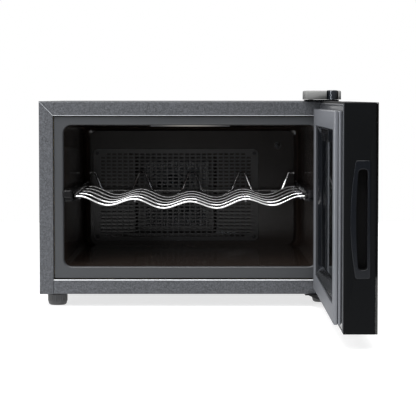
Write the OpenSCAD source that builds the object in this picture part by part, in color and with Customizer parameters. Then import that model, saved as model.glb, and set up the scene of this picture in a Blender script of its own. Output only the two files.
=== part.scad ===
// Thermoelectric wine cooler with a glass door that swings on the right.
// Origin: on the floor, under the centre of the cabinet. X right, Y back, Z up.
// The door is drawn shut and then turned open about its hinge pin.

/* [Cabinet] */
// Width of the cabinet
cab_w = 455; // [450:1:470]
// Height of the cabinet box, without its feet
cab_h = 291; // [288:1:300]
// Depth from the front flange to the rear cover
body_d = 458; // [456:1:480]
// Thickness of the steel sheet
sheet_t = 0.8; // [0.6:0.1:1]
// Width of the folded steel flange
flange_w = 21.5; // [20:0.5:23]
// Depth of the folded lip behind the flange
lip_d = 9; // [8:0.5:9]
// Height of the feet
foot_h = 20; // [18:1:22]

/* [Liner] */
// Depth of the cavity behind the flange
cavity_d = 350; // [345:1:352]
// Width of the cavity at its mouth
mouth_w = 381; // [378:1:382]
// Height of the cavity at its mouth
mouth_h = 213.3; // [210:0.1:215]
// Height of the cavity floor above the cabinet's underside, at the mouth
mouth_rise = 41.7; // [41:0.1:44]
// Corner radius of the cavity
mouth_r = 11.5; // [9:0.5:14]
// Wall thickness of the liner
liner_t = 2; // [1.5:0.1:2.2]

/* [Shelf] */
// Diameter of the shelf wires
wire_d = 3; // [2.5:0.1:3.2]
// Distance between two bottle places
bottle_pitch = 84; // [82:1:84]
// Number of wires with bottle places
wave_count = 5; // [4:1:6]
// Height of the shelf's ends above the floor
shelf_z = 167; // [166:1:168]
// Drop of the shelf from its ends to its middle
shelf_sag = 8.2; // [4:0.1:9]
// Depth of a bottle place
shelf_dip = 11.5; // [9:0.5:12]

/* [Door] */
// Thickness of the door without its gasket
door_t = 43; // [42:1:46]
// Gap between the cabinet and the shut door
door_gap = 12; // [12:0.5:14]
// Thickness of the outer glass
glass_t = 3; // [3:0.5:4]
// Width of the gasket
gasket_w = 24; // [22:0.5:24]
// Distance of the gasket from the door's edge
gasket_inset = 11; // [10:0.5:11]
// How far the door stands open, 0 when shut
door_open = 90; // [0:5:115]

/* [Details] */
// Width of the handle bezel at its ends
bezel_w = 18.7; // [18:0.1:20]
// Height of the handle bezel
bezel_h = 148.4; // [140:0.1:155]
// Diameter of the levelling feet
foot_d = 30; // [28:1:31]
// Number of grip notches round a foot
foot_notches = 24; // [12:2:30]
// Pitch of the grille's slots across
slot_pitch_x = 9.5; // [9:0.5:12]
// Pitch of the grille's slots in height
slot_pitch_z = 6; // [6:0.5:8]
// Width of the bars between the grille's slots
slot_bar = 2.4; // [2:0.1:2.8]
// Length of the lamp lens in the ceiling
lamp_w = 120; // [60:5:140]
// Number of fins on each heat sink
fin_count = 17; // [9:2:21]
// Number of blades on each fan
blade_count = 7; // [5:1:9]

/* [Hidden] */
$fn = 64;
hull_fn = 32;
half_w = cab_w / 2;
front_y = -body_d / 2;
rear_y = body_d / 2;
top_z = foot_h + cab_h;
rear_cover_d = 28;
back_y = rear_y - rear_cover_d;
fold_r = 2;
roll_r = 1.4;
seam = 0.15;
opening_x = half_w - flange_w;
opening_top = top_z - 22;
base_flange_h = 22;

ring_recess = 4.5;
ring_y = front_y + ring_recess;
ring_gap = 2;
mouth_z = foot_h + mouth_rise;
cavity_y = front_y + cavity_d;
cavity_taper = 8.5;
cavity_rise = 4.3;
cavity_fall = 7;
cavity_back_z = mouth_z + cavity_rise;
cavity_back_h = mouth_h - cavity_rise - cavity_fall;

engine_x = -27.5;
engine_z = foot_h + 131.5;
pocket_w = 130;
pocket_h = 128;
pocket_d = 39;
block_w = 40;
block_d = 16;
module_t = 4;
inner_fan_w = 80;
inner_fan_d = 15;
outer_fan_w = 92;
outer_fan_d = 20;
cold_w = 110;
hot_w = 130;
hot_recess_w = 140;
pocket_y = cavity_y + pocket_d;
hot_y = pocket_y + block_d + module_t;

grille_x0 = -167;
grille_x1 = 112;
grille_z0 = foot_h + 54;
grille_z1 = foot_h + 209;
duct_w = 344;
duct_top = foot_h + 240;
duct_rise = 8;

rail_x = 173.6;
rail_groove_x = 178.3;
rail_y0 = front_y + 8;
rail_y1 = front_y + 340;
shelf_end = 177;
shelf_y0 = front_y + 22;
shelf_y1 = front_y + 318;
crest_end = 2 * bottle_pitch;
guard_top = 190;
guard_low = 160;

pin_r = 4;
running_gap = 0.05;
pin_inset = 16.2;
pin_depth = 15.2;
pin_x = half_w - pin_inset;
door_y = front_y - door_gap;
pin_y = door_y - pin_depth;
glass_y = door_y - door_t;
door_z0 = foot_h + 0.3;
door_z1 = top_z - 0.3;
door_h = door_z1 - door_z0;
door_mid = (door_z0 + door_z1) / 2;
frame_wall = 3;
window_inset = 54;
pane_inset = 48;
pane_t = 4;
pane_rise = 0.7;
gasket_t = 11.7;
trim_inset = gasket_inset + gasket_w + 0.3;
bush_r = 6;
slot_h = 125.8;
cup_depth = 20;

foot_x = half_w - 24.1;
foot_front = front_y + 40;
foot_front_right = front_y + 79;
foot_rear = rear_y - 49;
stud_r = 4;
insert_r = 7;
FEET = [[-foot_x, foot_front], [foot_x, foot_front_right], [-foot_x, foot_rear], [foot_x, foot_rear]];

top_screws = [[182, -216], [214, -216], [182, -201], [214, -201]];
low_screws = [[183, -209], [213, -209], [183, -186], [213, -186]];
board_x = 94;
cover_screws = [[-142, foot_h + 26], [142, foot_h + 26], [-142, foot_h + 264], [142, foot_h + 264],
    [-142, foot_h + 145], [142, foot_h + 145]];
grille_screws_at = [[grille_x0 + 7, grille_z0 + 7], [grille_x1 - 7, grille_z0 + 7],
    [grille_x0 + 7, grille_z1 - 7], [grille_x1 - 7, grille_z1 - 7]];

// ---------------------------------------------------------------- shared shapes

// A 2D shape in X and Z, pushed along Y
module along_y(y0, y1) {
    translate([0, y1, 0]) rotate([90, 0, 0]) linear_extrude(y1 - y0) children();
}

// A 2D shape in Y and Z, pushed along X
module along_x(x0, x1) {
    translate([x0, 0, 0]) rotate([90, 0, 90]) linear_extrude(x1 - x0) children();
}

// A rectangle with round corners, centred
module round_rect(w, h, r) {
    square([w - 2 * r, h], center = true);
    square([w, h - 2 * r], center = true);
    for (sx = [-1, 1], sy = [-1, 1])
        translate([sx * (w / 2 - r), sy * (h / 2 - r)]) circle(r);
}

// A rectangle with round corners, from its lowest to its highest corner
module round_rect_to(x0, z0, x1, z1, r) {
    translate([(x0 + x1) / 2, (z0 + z1) / 2]) round_rect(x1 - x0, z1 - z0, r);
}

// A square tray side profile: depth runs along the first axis, inset along the second
module fold_profile(w) {
    difference() {
        fold_outline(w, 0);
        translate([sheet_t, sheet_t]) fold_outline(w - 2 * sheet_t, sheet_t);
    }
}

// The outline of a folded flange, with its outer fold and its inner roll
module fold_outline(w, less) {
    outer_r = fold_r - less;
    inner_r = roll_r - less;
    translate([0, outer_r]) square([lip_d, w - outer_r - inner_r]);
    translate([outer_r, 0]) square([lip_d - outer_r, w / 2]);
    translate([inner_r, w / 2]) square([lip_d - inner_r, w / 2]);
    translate([outer_r, outer_r]) circle(outer_r);
    translate([inner_r, w - inner_r]) circle(inner_r);
}

// One bar of a picture frame, lying at the bottom, with mitred ends
module mitred_bar(len, half, reach, gap) {
    end = len / 2 - gap;
    intersection() {
        translate([0, 0, -half]) along_x(-len / 2, len / 2) children();
        along_y(-60, 60)
            polygon([[-end, -half], [end, -half], [end - reach, reach - half], [reach - end, reach - half]]);
    }
}

// Four mitred bars round a rectangle, centred, with the profile as the child
module mitred_frame(w, h, reach, gap = 0) {
    for (turn = [0, 180])
        rotate([0, turn, 0]) mitred_bar(w, h / 2, reach, gap) children();
    for (turn = [90, -90])
        rotate([0, turn, 0]) mitred_bar(h, w / 2, reach, gap) children();
}

// A screw with a domed head; the head stands on Z = 0 and the shank goes down
module screw(r, head_r, len) {
    translate([0, 0, -len]) cylinder(h = len, r = r, $fn = 24);
    rotate_extrude($fn = 32) polygon([[0, 0], [head_r, 0], [head_r, 0.7], [head_r * 0.6, 1.8], [0, 2]]);
}

// A round wire along a list of points that all lie in one plane across Y
module plane_wire(points, d, y) {
    sides = 8;
    n = len(points);
    rings = [for (i = [0:n - 1]) let (
            a = points[max(i - 1, 0)], b = points[min(i + 1, n - 1)],
            t = (b - a) / norm(b - a), side = [-t[1], t[0]])
        for (k = [0:sides - 1]) let (q = 360 * k / sides, u = d / 2 * cos(q))
            [points[i][0] + side[0] * u, y + d / 2 * sin(q), points[i][1] + side[1] * u]];
    skin = [for (i = [0:n - 2], k = [0:sides - 1]) let (m = (k + 1) % sides)
        [i * sides + k, i * sides + m, (i + 1) * sides + m, (i + 1) * sides + k]];
    polyhedron(rings, concat([[for (k = [sides - 1:-1:0]) k]], skin,
        [[for (k = [0:sides - 1]) (n - 1) * sides + k]]));
}

// ---------------------------------------------------------------- cabinet shell

// The steel case: top and sides folded from one sheet, with a mitred flange round the front
module outer_wrapper() color([0.27, 0.28, 0.30]) difference() {
    union() {
        along_y(front_y + lip_d, back_y) difference() {
            union() {
                round_rect_to(-half_w, foot_h, half_w, top_z, fold_r);
                translate([-half_w, foot_h]) square([cab_w, cab_h / 2]);
            }
            translate([sheet_t - half_w, 0]) square([cab_w - 2 * sheet_t, top_z - sheet_t]);
        }
        intersection() {
            translate([0, front_y, top_z - cab_h])
                mitred_frame(cab_w, 2 * cab_h, flange_w + 0.5, seam) fold_profile(flange_w);
            translate([-cab_w, front_y - 1, foot_h]) cube([2 * cab_w, lip_d + 1, cab_h + 1]);
        }
    }
    for (p = top_screws)
        translate([p[0], p[1], top_z - 3]) cylinder(h = 6, r = 2, $fn = 24);
}

// The steel floor of the case, with its own front flange and holes for the feet
module base_panel() color([0.25, 0.26, 0.28]) difference() {
    union() {
        translate([sheet_t + 0.2 - half_w, front_y + lip_d, foot_h])
            cube([cab_w - 2 * sheet_t - 0.4, back_y - front_y - lip_d - 1, sheet_t]);
        translate([0, front_y, foot_h])
            along_x(0.2 - opening_x, opening_x - 0.2) fold_profile(base_flange_h);
    }
    for (f = FEET)
        translate([f[0], f[1], foot_h - 1]) cylinder(h = 4, r = insert_r - 1.5);
    for (p = low_screws)
        translate([p[0], p[1], foot_h - 1]) cylinder(h = 4, r = 2, $fn = 24);
}

// The flat steel back, open behind the cooling engine
module back_panel() color([0.25, 0.26, 0.28]) along_y(back_y - sheet_t, back_y) difference() {
    translate([sheet_t + 0.2 - half_w, foot_h + 0.2])
        square([cab_w - 2 * sheet_t - 0.4, cab_h - sheet_t - 0.4]);
    translate([engine_x, engine_z]) round_rect(hot_recess_w, hot_recess_w, 4);
    for (p = cover_screws)
        translate(p) circle(1.6, $fn = 24);
}

// The cavity as a tapered block, grown outwards by the given amount
module cavity_block(grow, front_more) {
    hull($fn = hull_fn) {
        translate([0, ring_y - front_more, 0]) along_y(0, 0.2)
            round_rect_to(-mouth_w / 2 - grow, mouth_z - grow, mouth_w / 2 + grow,
                mouth_z + mouth_h + grow, mouth_r + grow);
        translate([0, cavity_y + grow, 0]) along_y(-0.2, 0)
            round_rect_to(cavity_taper - mouth_w / 2 - grow, cavity_back_z - grow,
                mouth_w / 2 - cavity_taper + grow, cavity_back_z + cavity_back_h + grow, mouth_r + grow);
    }
}

// The pocket behind the cavity for the inner fan and the cold sink, grown by some millimetres
module engine_pocket(grow) {
    along_y(cavity_y, pocket_y + grow)
        translate([engine_x, engine_z]) round_rect(pocket_w + 2 * grow, pocket_h + 2 * grow, 5);
}

// The vacuum-formed liner: the flat ring, the tapered cavity and the engine pocket
module inner_liner() color([0.06, 0.06, 0.065]) difference() {
    union() {
        cavity_block(liner_t, 0);
        engine_pocket(liner_t);
        along_y(ring_y, ring_y + liner_t)
            round_rect_to(ring_gap - opening_x, foot_h + base_flange_h + ring_gap, opening_x - ring_gap,
                opening_top - ring_gap, 3);
    }
    cavity_block(0, 1);
    engine_pocket(0);
    along_y(pocket_y - 1, pocket_y + liner_t + 1)
        translate([engine_x, engine_z]) square(block_w + 1, center = true);
    translate([2 - lamp_w / 2, front_y + 29, mouth_z + mouth_h - 4]) cube([lamp_w - 4, 10, 12]);
}

// Foam that fills the space between the liner and the case
module insulation_foam() color([0.85, 0.78, 0.55]) difference() {
    translate([sheet_t + 0.3 - half_w, front_y + lip_d + 0.4, foot_h + sheet_t + 0.2])
        cube([cab_w - 2 * sheet_t - 0.6, body_d - rear_cover_d - lip_d - sheet_t - 0.6,
            cab_h - 2 * sheet_t - 0.4]);
    cavity_block(liner_t + 0.2, 1);
    engine_pocket(liner_t + 0.2);
    along_y(pocket_y, back_y)
        translate([engine_x, engine_z]) square(block_w + 0.6, center = true);
    along_y(hot_y - 1, back_y + 1)
        translate([engine_x, engine_z]) round_rect(hot_recess_w, hot_recess_w, 4);
    translate([-4 - lamp_w / 2, front_y + 24, mouth_z + mouth_h]) cube([lamp_w + 8, 20, 8]);
    for (f = FEET)
        translate([f[0], f[1], foot_h - 1]) cylinder(h = 34, r = insert_r + 0.5);
    for (p = low_screws)
        translate([p[0], p[1], foot_h - 1]) cylinder(h = 12, r = 3, $fn = 24);
    for (p = top_screws)
        translate([p[0], p[1], top_z - 10]) cylinder(h = 12, r = 3, $fn = 24);
    for (p = cover_screws)
        translate([p[0], back_y - 10, p[1]]) rotate([-90, 0, 0]) cylinder(h = 12, r = 3, $fn = 24);
}

// ---------------------------------------------------------------- duct and cooling

// The panel across the back of the cavity, with an opening behind the grille
module duct_panel() color([0.07, 0.07, 0.075]) difference() {
    along_y(cavity_y - duct_rise, cavity_y - 0.2)
        round_rect_to(-duct_w / 2, cavity_back_z + 0.4, duct_w / 2, duct_top, 12);
    along_y(cavity_y - duct_rise + liner_t, cavity_y)
        round_rect_to(liner_t - duct_w / 2, cavity_back_z + 0.4 + liner_t, duct_w / 2 - liner_t,
            duct_top - liner_t, 10);
    along_y(cavity_y - duct_rise - 1, cavity_y)
        round_rect_to(grille_x0 + 12, grille_z0 + 2, grille_x1 - 12, grille_z1 - 2, 4);
    for (p = grille_screws_at)
        translate([p[0], cavity_y - duct_rise - 1, p[1]]) rotate([-90, 0, 0])
            cylinder(h = 4, r = 1.6, $fn = 24);
}

// The slotted grille in front of the inner fan
module fan_grille() color([0.05, 0.05, 0.055]) {
    across = floor((grille_x1 - grille_x0 - 20) / slot_pitch_x);
    up = floor((grille_z1 - grille_z0 - 8) / slot_pitch_z);
    y1 = cavity_y - duct_rise - 0.1;
    along_y(y1 - 2.2, y1) difference() {
        round_rect_to(grille_x0, grille_z0, grille_x1, grille_z1, 8);
        for (i = [0:across - 1], k = [0:up - 1]) {
            x = (grille_x0 + grille_x1) / 2 + (i - (across - 1) / 2) * slot_pitch_x;
            z = (grille_z0 + grille_z1) / 2 + (k - (up - 1) / 2) * slot_pitch_z;
            if (!(abs(i - (across - 1) / 2) > across / 2 - 1.5 && abs(k - (up - 1) / 2) > up / 2 - 1.5))
                translate([x, z]) square([slot_pitch_x - slot_bar, slot_pitch_z - slot_bar], center = true);
        }
        for (p = grille_screws_at)
            translate(p) circle(1.7, $fn = 24);
    }
}

// Four screws at the grille's corners
module grille_screws() color([0.3, 0.3, 0.3])
    for (p = grille_screws_at)
        translate([p[0], cavity_y - duct_rise - 2.3, p[1]]) rotate([90, 0, 0]) screw(1.4, 3, 5);

// An axial fan's square frame, with its front at Y = 0
module fan_frame(w, d) {
    along_y(0, d) difference() {
        round_rect(w, w, 4);
        circle(w / 2 - 2.5);
        for (sx = [-1, 1], sz = [-1, 1])
            translate([sx * (w / 2 - 4.5), sz * (w / 2 - 4.5)]) circle(2.1, $fn = 24);
    }
    along_y(d - 2.5, d) circle(w * 0.19);
    for (k = [0:3])
        rotate([0, 45 + 90 * k, 0]) translate([0, d - 2.5, -2]) cube([w / 2 - 1, 2.5, 4]);
}

// The rotor of the same fan, with curved-back blades on a cup-shaped hub
module fan_rotor(w, d) {
    hub_r = w * 0.2;
    tip_r = w / 2 - 4;
    along_y(1, d - 3) circle(hub_r);
    intersection() {
        along_y(1, d - 3) circle(tip_r);
        for (k = [0:blade_count - 1])
            rotate([0, 360 * k / blade_count, 0]) translate([hub_r - 1, d / 2 - 1, 0])
                rotate([36, 0, 0]) translate([0, -0.7, -w * 0.15]) cube([w / 2, 1.4, w * 0.3]);
    }
}

// The fan that blows air over the cold sink
module inner_fan_frame() color([0.1, 0.1, 0.1])
    translate([engine_x, cavity_y + 2, engine_z]) fan_frame(inner_fan_w, inner_fan_d);

// The inner fan's hub and blades
module inner_fan_rotor() color([0.13, 0.13, 0.13])
    translate([engine_x, cavity_y + 2, engine_z]) fan_rotor(inner_fan_w, inner_fan_d);

// A finned sink: the base plate's flat side is at Y = 0 and the fins run towards -Y
module fin_sink(w, h, base, fins) {
    along_y(-base, 0) square([w, h], center = true);
    for (i = [0:fin_count - 1])
        translate([-w / 2 + i * (w - 1.5) / (fin_count - 1), -base - fins, -h / 2])
            cube([1.5, fins + 0.1, h]);
}

// The finned sink that cools the cavity air
module cold_sink() color([0.75, 0.76, 0.78])
    translate([engine_x, pocket_y - 0.2, engine_z]) fin_sink(cold_w, cold_w, 4, 17);

// The aluminium block that carries heat from the cold sink to the module
module cold_block() color([0.72, 0.73, 0.75])
    translate([engine_x, 0, engine_z]) along_y(pocket_y - 0.1, pocket_y + block_d)
        square(block_w, center = true);

// The ceramic module between the cold block and the hot sink
module thermoelectric_module() color([0.92, 0.92, 0.9]) translate([engine_x, 0, engine_z]) {
    base = pocket_y + block_d;
    along_y(base, base + 0.8) square(block_w, center = true);
    along_y(base + 0.8, base + module_t - 0.8) square(block_w - 2, center = true);
    along_y(base + module_t - 0.8, base + module_t) square(block_w, center = true);
}

// The finned sink that gives the heat off behind the cabinet
module hot_sink() color([0.7, 0.71, 0.73])
    translate([engine_x, hot_y, engine_z]) mirror([0, 1, 0]) fin_sink(hot_w, hot_w, 5, 17.5);

// The fan that draws air through the hot sink
module outer_fan_frame() color([0.1, 0.1, 0.1])
    translate([engine_x, back_y + 3, engine_z]) fan_frame(outer_fan_w, outer_fan_d);

// The outer fan's hub and blades
module outer_fan_rotor() color([0.13, 0.13, 0.13])
    translate([engine_x, back_y + 3, engine_z]) fan_rotor(outer_fan_w, outer_fan_d);

// The vented tray over the hot side, with a boss for each screw
module rear_cover() color([0.09, 0.09, 0.1]) {
    wall = 2.5;
    x1 = 150;
    z0 = foot_h + 18;
    z1 = foot_h + 272;
    difference() {
        along_y(back_y + 0.1, rear_y) round_rect_to(-x1, z0, x1, z1, 8);
        along_y(back_y - 1, rear_y - wall) round_rect_to(wall - x1, z0 + wall, x1 - wall, z1 - wall, 6);
        along_y(rear_y - wall - 1, rear_y + 1) {
            intersection() {
                translate([engine_x, engine_z]) circle(outer_fan_w / 2 - 2);
                for (i = [-6:6])
                    translate([engine_x - 60, engine_z + i * 7 - 2]) square([120, 4]);
            }
            for (i = [0:13])
                translate([-130 + i * 20, foot_h + 212]) square([9, 36]);
            for (i = [0:9])
                translate([-130 + i * 20, foot_h + 34]) square([9, 26]);
            translate([100, foot_h + 40]) square([27, 19.5], center = true);
            for (p = cover_screws)
                translate(p) circle(1.7, $fn = 24);
        }
    }
    for (p = cover_screws)
        translate([p[0], back_y + 0.1, p[1]]) rotate([-90, 0, 0]) difference() {
            cylinder(h = rear_cover_d - wall, r = 4.5, $fn = 32);
            translate([0, 0, -1]) cylinder(h = rear_cover_d, r = 1.7, $fn = 24);
        }
}

// Six long screws that hold the rear cover to the back panel
module rear_cover_screws() color([0.25, 0.25, 0.26])
    for (p = cover_screws)
        translate([p[0], rear_y - 0.1, p[1]]) rotate([-90, 0, 0]) translate([0, 0, -1.9]) screw(1.5, 3.5, 34);

// The power supply board on its four posts
module power_board() color([0.1, 0.35, 0.18]) {
    along_y(back_y + 7, back_y + 8.6) translate([board_x, engine_z]) square([80, 100], center = true);
    for (sx = [-1, 1], sz = [-1, 1])
        translate([board_x + sx * 35, back_y + 0.2, engine_z + sz * 45]) rotate([-90, 0, 0])
            cylinder(h = 7, r = 3, $fn = 24);
}

// What stands on the power board: transformer, relay, capacitors, transistors and connector
module power_components() color([0.2, 0.2, 0.22]) {
    y = back_y + 8.7;
    translate([board_x - 34, y, engine_z - 40]) cube([28, 15, 32]);
    translate([board_x - 34, y, engine_z + 4]) cube([18, 12, 20]);
    for (i = [0:2])
        translate([board_x + 8, y, engine_z - 28 + 17 * i]) rotate([-90, 0, 0]) cylinder(h = 14, r = 6.5);
    for (i = [0:3])
        translate([board_x + 20, y, engine_z - 34 + 5 * i]) cube([3, 13, 3]);
    translate([board_x, y, engine_z + 30]) cube([30, 8, 12]);
}

// The socket for the mains lead, with its flange and three pins
module mains_inlet() color([0.05, 0.05, 0.05]) translate([100, 0, foot_h + 40]) {
    difference() {
        union() {
            along_y(rear_y - 22, rear_y - 0.1) square([26.6, 19.1], center = true);
            along_y(rear_y - 4.6, rear_y - 2.6) square([40, 24], center = true);
        }
        along_y(rear_y - 18, rear_y + 1) round_rect(22.6, 15.1, 3);
    }
    for (x = [-7, 0, 7])
        translate([x - 0.9, rear_y - 20, -2 + (x == 0 ? 3 : 0)]) cube([1.8, 16, 4]);
}

// The frosted lens of the lamp in the cavity's ceiling
module led_lens() color([0.95, 0.95, 0.9]) {
    z = mouth_z + mouth_h - 0.9;
    translate([-lamp_w / 2, front_y + 27, z - 1.4]) cube([lamp_w, 14, 1.2]);
    translate([2.4 - lamp_w / 2, front_y + 29.4, z - 0.4]) cube([lamp_w - 4.8, 9.2, 2.8]);
}

// The lamp board with five chips, above the lens
module led_board() color([0.9, 0.9, 0.9]) {
    z = mouth_z + mouth_h + 3;
    translate([5 - lamp_w / 2, front_y + 30, z]) cube([lamp_w - 10, 8, 1.6]);
    for (i = [-2:2])
        translate([i * lamp_w / 6 - 1.7, front_y + 32.3, z - 0.9]) cube([3.4, 3.4, 0.9]);
}

// The air temperature probe on the duct panel
module temperature_probe() color([0.15, 0.15, 0.15])
    translate([145, cavity_y - duct_rise - 0.1, duct_top - 25]) rotate([90, 0, 0]) {
        cylinder(h = 2, r = 6);
        cylinder(h = 9, r = 3.5);
        translate([0, 0, 9]) sphere(3.5);
    }

// ---------------------------------------------------------------- shelf and its rails

// The right-hand rail; its outer side follows the cavity's taper
module shelf_rail() {
    taper = cavity_taper / (cavity_y - ring_y);
    x0 = mouth_w / 2 - 0.4 - (rail_y0 - ring_y) * taper;
    x1 = mouth_w / 2 - 0.4 - (rail_y1 - ring_y) * taper;
    difference() {
        translate([0, 0, shelf_z - 7]) linear_extrude(17)
            polygon([[rail_x + 5, rail_y0], [x0, rail_y0], [x1, rail_y1], [rail_x, rail_y1],
                [rail_x, rail_y0 + 10]]);
        translate([rail_x - 1, rail_y0 - 1, shelf_z - wire_d / 2 - 0.3])
            cube([rail_groove_x - rail_x + 1, rail_y1 - rail_y0 - 12, wire_d + 1.2]);
    }
    translate([rail_groove_x + 1.5, front_y + 0.8, shelf_z - 1])
        cube([mouth_w / 2 - rail_groove_x - 2.5, rail_y0 - front_y - 0.8 + 0.1, 10]);
    translate([mouth_w / 2 - 4.5, front_y + 0.8, shelf_z - 1]) cube([6, ring_recess - 1, 10]);
}

// The rail on the hinge side
module shelf_rail_right() color([0.08, 0.08, 0.085]) shelf_rail();

// The rail on the far side
module shelf_rail_left() color([0.08, 0.08, 0.085]) mirror([1, 0, 0]) shelf_rail();

// Height of the bottle crests along the shelf, and the wave that hangs from them
function crest_rise(x) = sqrt(x * x + 100) - 10;
function crest_z(x) = shelf_z - shelf_sag + shelf_sag * crest_rise(x) / crest_rise(crest_end);
function wave_z(x) = abs(x) >= crest_end ? crest_z(crest_end)
    : crest_z(x) - shelf_dip * (1 - cos(360 * x / bottle_pitch)) / 2;
wave_steps = 30;
wave_points = concat([[-shelf_end, crest_z(crest_end)]],
    [for (i = [-wave_steps:wave_steps]) let (x = crest_end * i / wave_steps) [x, wave_z(x)]],
    [[shelf_end, crest_z(crest_end)]]);
guard_points = concat([[-crest_end - 4, guard_top]],
    [for (k = [-2:1]) let (x = k * bottle_pitch) each [[x + 5, guard_top], [x + 16, guard_low + 3],
        [x + 19, guard_low], [x + bottle_pitch - 19, guard_low], [x + bottle_pitch - 16, guard_low + 3],
        [x + bottle_pitch - 5, guard_top]]],
    [[crest_end + 4, guard_top]]);

// The bent wires with four bottle places each
module shelf_wave_wires() color([0.85, 0.86, 0.88])
    for (i = [0:wave_count - 1])
        plane_wire(wave_points, wire_d, shelf_y0 + (shelf_y1 - shelf_y0) * i / (wave_count - 1));

// Straight wires from front to back under the crests
module shelf_long_wires() color([0.85, 0.86, 0.88])
    for (k = [-2, -1, 1, 2])
        translate([k * bottle_pitch, shelf_y0 - 3, crest_z(k * bottle_pitch) - wire_d - 0.05])
            rotate([-90, 0, 0]) cylinder(h = shelf_y1 - shelf_y0 + 10, r = wire_d / 2, $fn = 24);

// The guard wire that stops the bottles at the back
module shelf_rear_guard() color([0.85, 0.86, 0.88])
    plane_wire(guard_points, wire_d, shelf_y1 + wire_d + 0.1);

// ---------------------------------------------------------------- hinges

// The steel plate of the upper hinge on the cabinet top
module top_hinge_bracket() color([0.2, 0.2, 0.22]) difference() {
    translate([0, 0, top_z]) linear_extrude(2.2) {
        translate([173, front_y + 5]) square([49, 36]);
        translate([pin_x - 10, pin_y]) square([20, front_y + 10 - pin_y]);
        translate([pin_x, pin_y]) circle(10);
    }
    translate([pin_x, pin_y, top_z - 1]) cylinder(h = 5, r = pin_r + 0.02);
    for (p = top_screws)
        translate([p[0], p[1], top_z - 1]) cylinder(h = 6, r = 2.1, $fn = 24);
}

// Four countersunk screws through the upper hinge plate
module top_hinge_screws() color([0.6, 0.6, 0.62])
    for (p = top_screws)
        translate([p[0], p[1], top_z + 2.3]) screw(1.8, 3.8, 10);

// The moulded cap over the upper hinge plate
module top_hinge_cover() color([0.55, 0.55, 0.54]) {
    y0 = pin_y - 9;
    y1 = front_y + 43;
    difference() {
        along_y(y0, y1) polygon([[171, top_z + 2.6], [171, top_z + 12.5], [174.5, top_z + 16.6],
            [220.5, top_z + 16.6], [224, top_z + 12.5], [224, top_z + 2.6]]);
        along_y(y0 + 1.6, y1 - 1.6) polygon([[172.8, top_z - 1], [172.8, top_z + 12], [175.2, top_z + 14.8],
            [219.8, top_z + 14.8], [222.2, top_z + 12], [222.2, top_z - 1]]);
        translate([pin_x - 8.3, y0 - 1, top_z]) cube([16.6, 9, 15.2]);
    }
}

// The barrel round the upper hinge's pin
module top_hinge_barrel() color([0.08, 0.09, 0.12])
    translate([pin_x, pin_y, top_z + 2.4]) difference() {
        union() {
            cylinder(h = 11.4, r = 8);
            cylinder(h = 12.2, r = 6.8);
        }
        translate([0, 0, -1]) cylinder(h = 10, r = pin_r + 0.02);
    }

// The upper hinge pin
module top_hinge_pin() color([0.75, 0.76, 0.78])
    translate([pin_x, pin_y, top_z - 11]) cylinder(h = 22, r = pin_r);

// The bracket under the cabinet that carries the door
module bottom_hinge_bracket() color([0.12, 0.12, 0.13]) difference() {
    union() {
        translate([174, front_y + 6, foot_h - 2.6]) cube([48, 56, 2.5]);
        hull($fn = hull_fn) {
            translate([176, front_y + 4, foot_h - 1.2]) cube([46, 4, 1.1]);
            translate([pin_x, pin_y, foot_h - 8.5]) cylinder(h = 8.4, r = 12);
        }
    }
    translate([pin_x, pin_y, foot_h - 12]) cylinder(h = 14, r = pin_r + 0.02);
    for (p = low_screws)
        translate([p[0], p[1], foot_h - 4]) cylinder(h = 6, r = 2.1, $fn = 24);
}

// Four screws through the lower hinge plate
module bottom_hinge_screws() color([0.6, 0.6, 0.62])
    for (p = low_screws)
        translate([p[0], p[1], foot_h - 2.7]) rotate([180, 0, 0]) screw(1.8, 3.8, 11);

// The lower hinge pin
module bottom_hinge_pin() color([0.75, 0.76, 0.78])
    translate([pin_x, pin_y, foot_h - 8]) cylinder(h = 19, r = pin_r);

// ---------------------------------------------------------------- door

// Turns a piece that is drawn on the shut door to where the door stands
module at_door() {
    translate([pin_x, pin_y, 0]) rotate([0, 0, door_open]) translate([-pin_x, -pin_y, 0]) children();
}

// A rectangle inside the door's outline, in X and Z
module door_outline(inset, r) {
    round_rect_to(inset - half_w, door_z0 + inset, half_w - inset, door_z1 - inset, r);
}

// A tall plate in the door's edge: straight towards the outer glass, bowed towards the cabinet,
// with round corners of radius near on the straight side and far on the bowed side
module bowed_plate(outer, inner, tall, bow, near, far) {
    bow_r = (bow * bow + tall * tall / 4) / (2 * bow);
    bow_x = inner + bow - bow_r;
    turn = asin((tall / 2 - far) / (bow_r - far));
    corner_x = bow_x + (bow_r - far) * cos(turn);
    translate([0, door_mid - 1.1]) {
        intersection() {
            round_rect_to(outer, -tall / 2, inner + bow, tall / 2, near);
            translate([bow_x, 0]) circle(bow_r, $fn = 360);
            translate([outer - 1, -bow_r * sin(turn)])
                square([inner - outer + bow + 2, 2 * bow_r * sin(turn)]);
        }
        intersection() {
            round_rect_to(outer, -tall / 2, inner + bow, tall / 2, near);
            translate([outer - 1, -tall]) square([corner_x - outer + 1, 2 * tall]);
        }
        for (side = [-1, 1])
            translate([corner_x, side * (tall / 2 - far)]) circle(far, $fn = 48);
    }
}

// The outline of the handle's bezel, grown by some millimetres
module bezel_outline(grow)
    bowed_plate(glass_y + 9.5 - grow, glass_y + 9.5 + bezel_w + grow, bezel_h + 2 * grow, 6.6,
        3.2 + grow, 3.6 + grow);

// The outline of the finger slot, grown by some millimetres
module slot_outline(grow)
    bowed_plate(glass_y + 13.4 - grow, glass_y + 24.4 + grow, slot_h + 2 * grow, 2.8, 4 + grow, 4.2 + grow);

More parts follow.
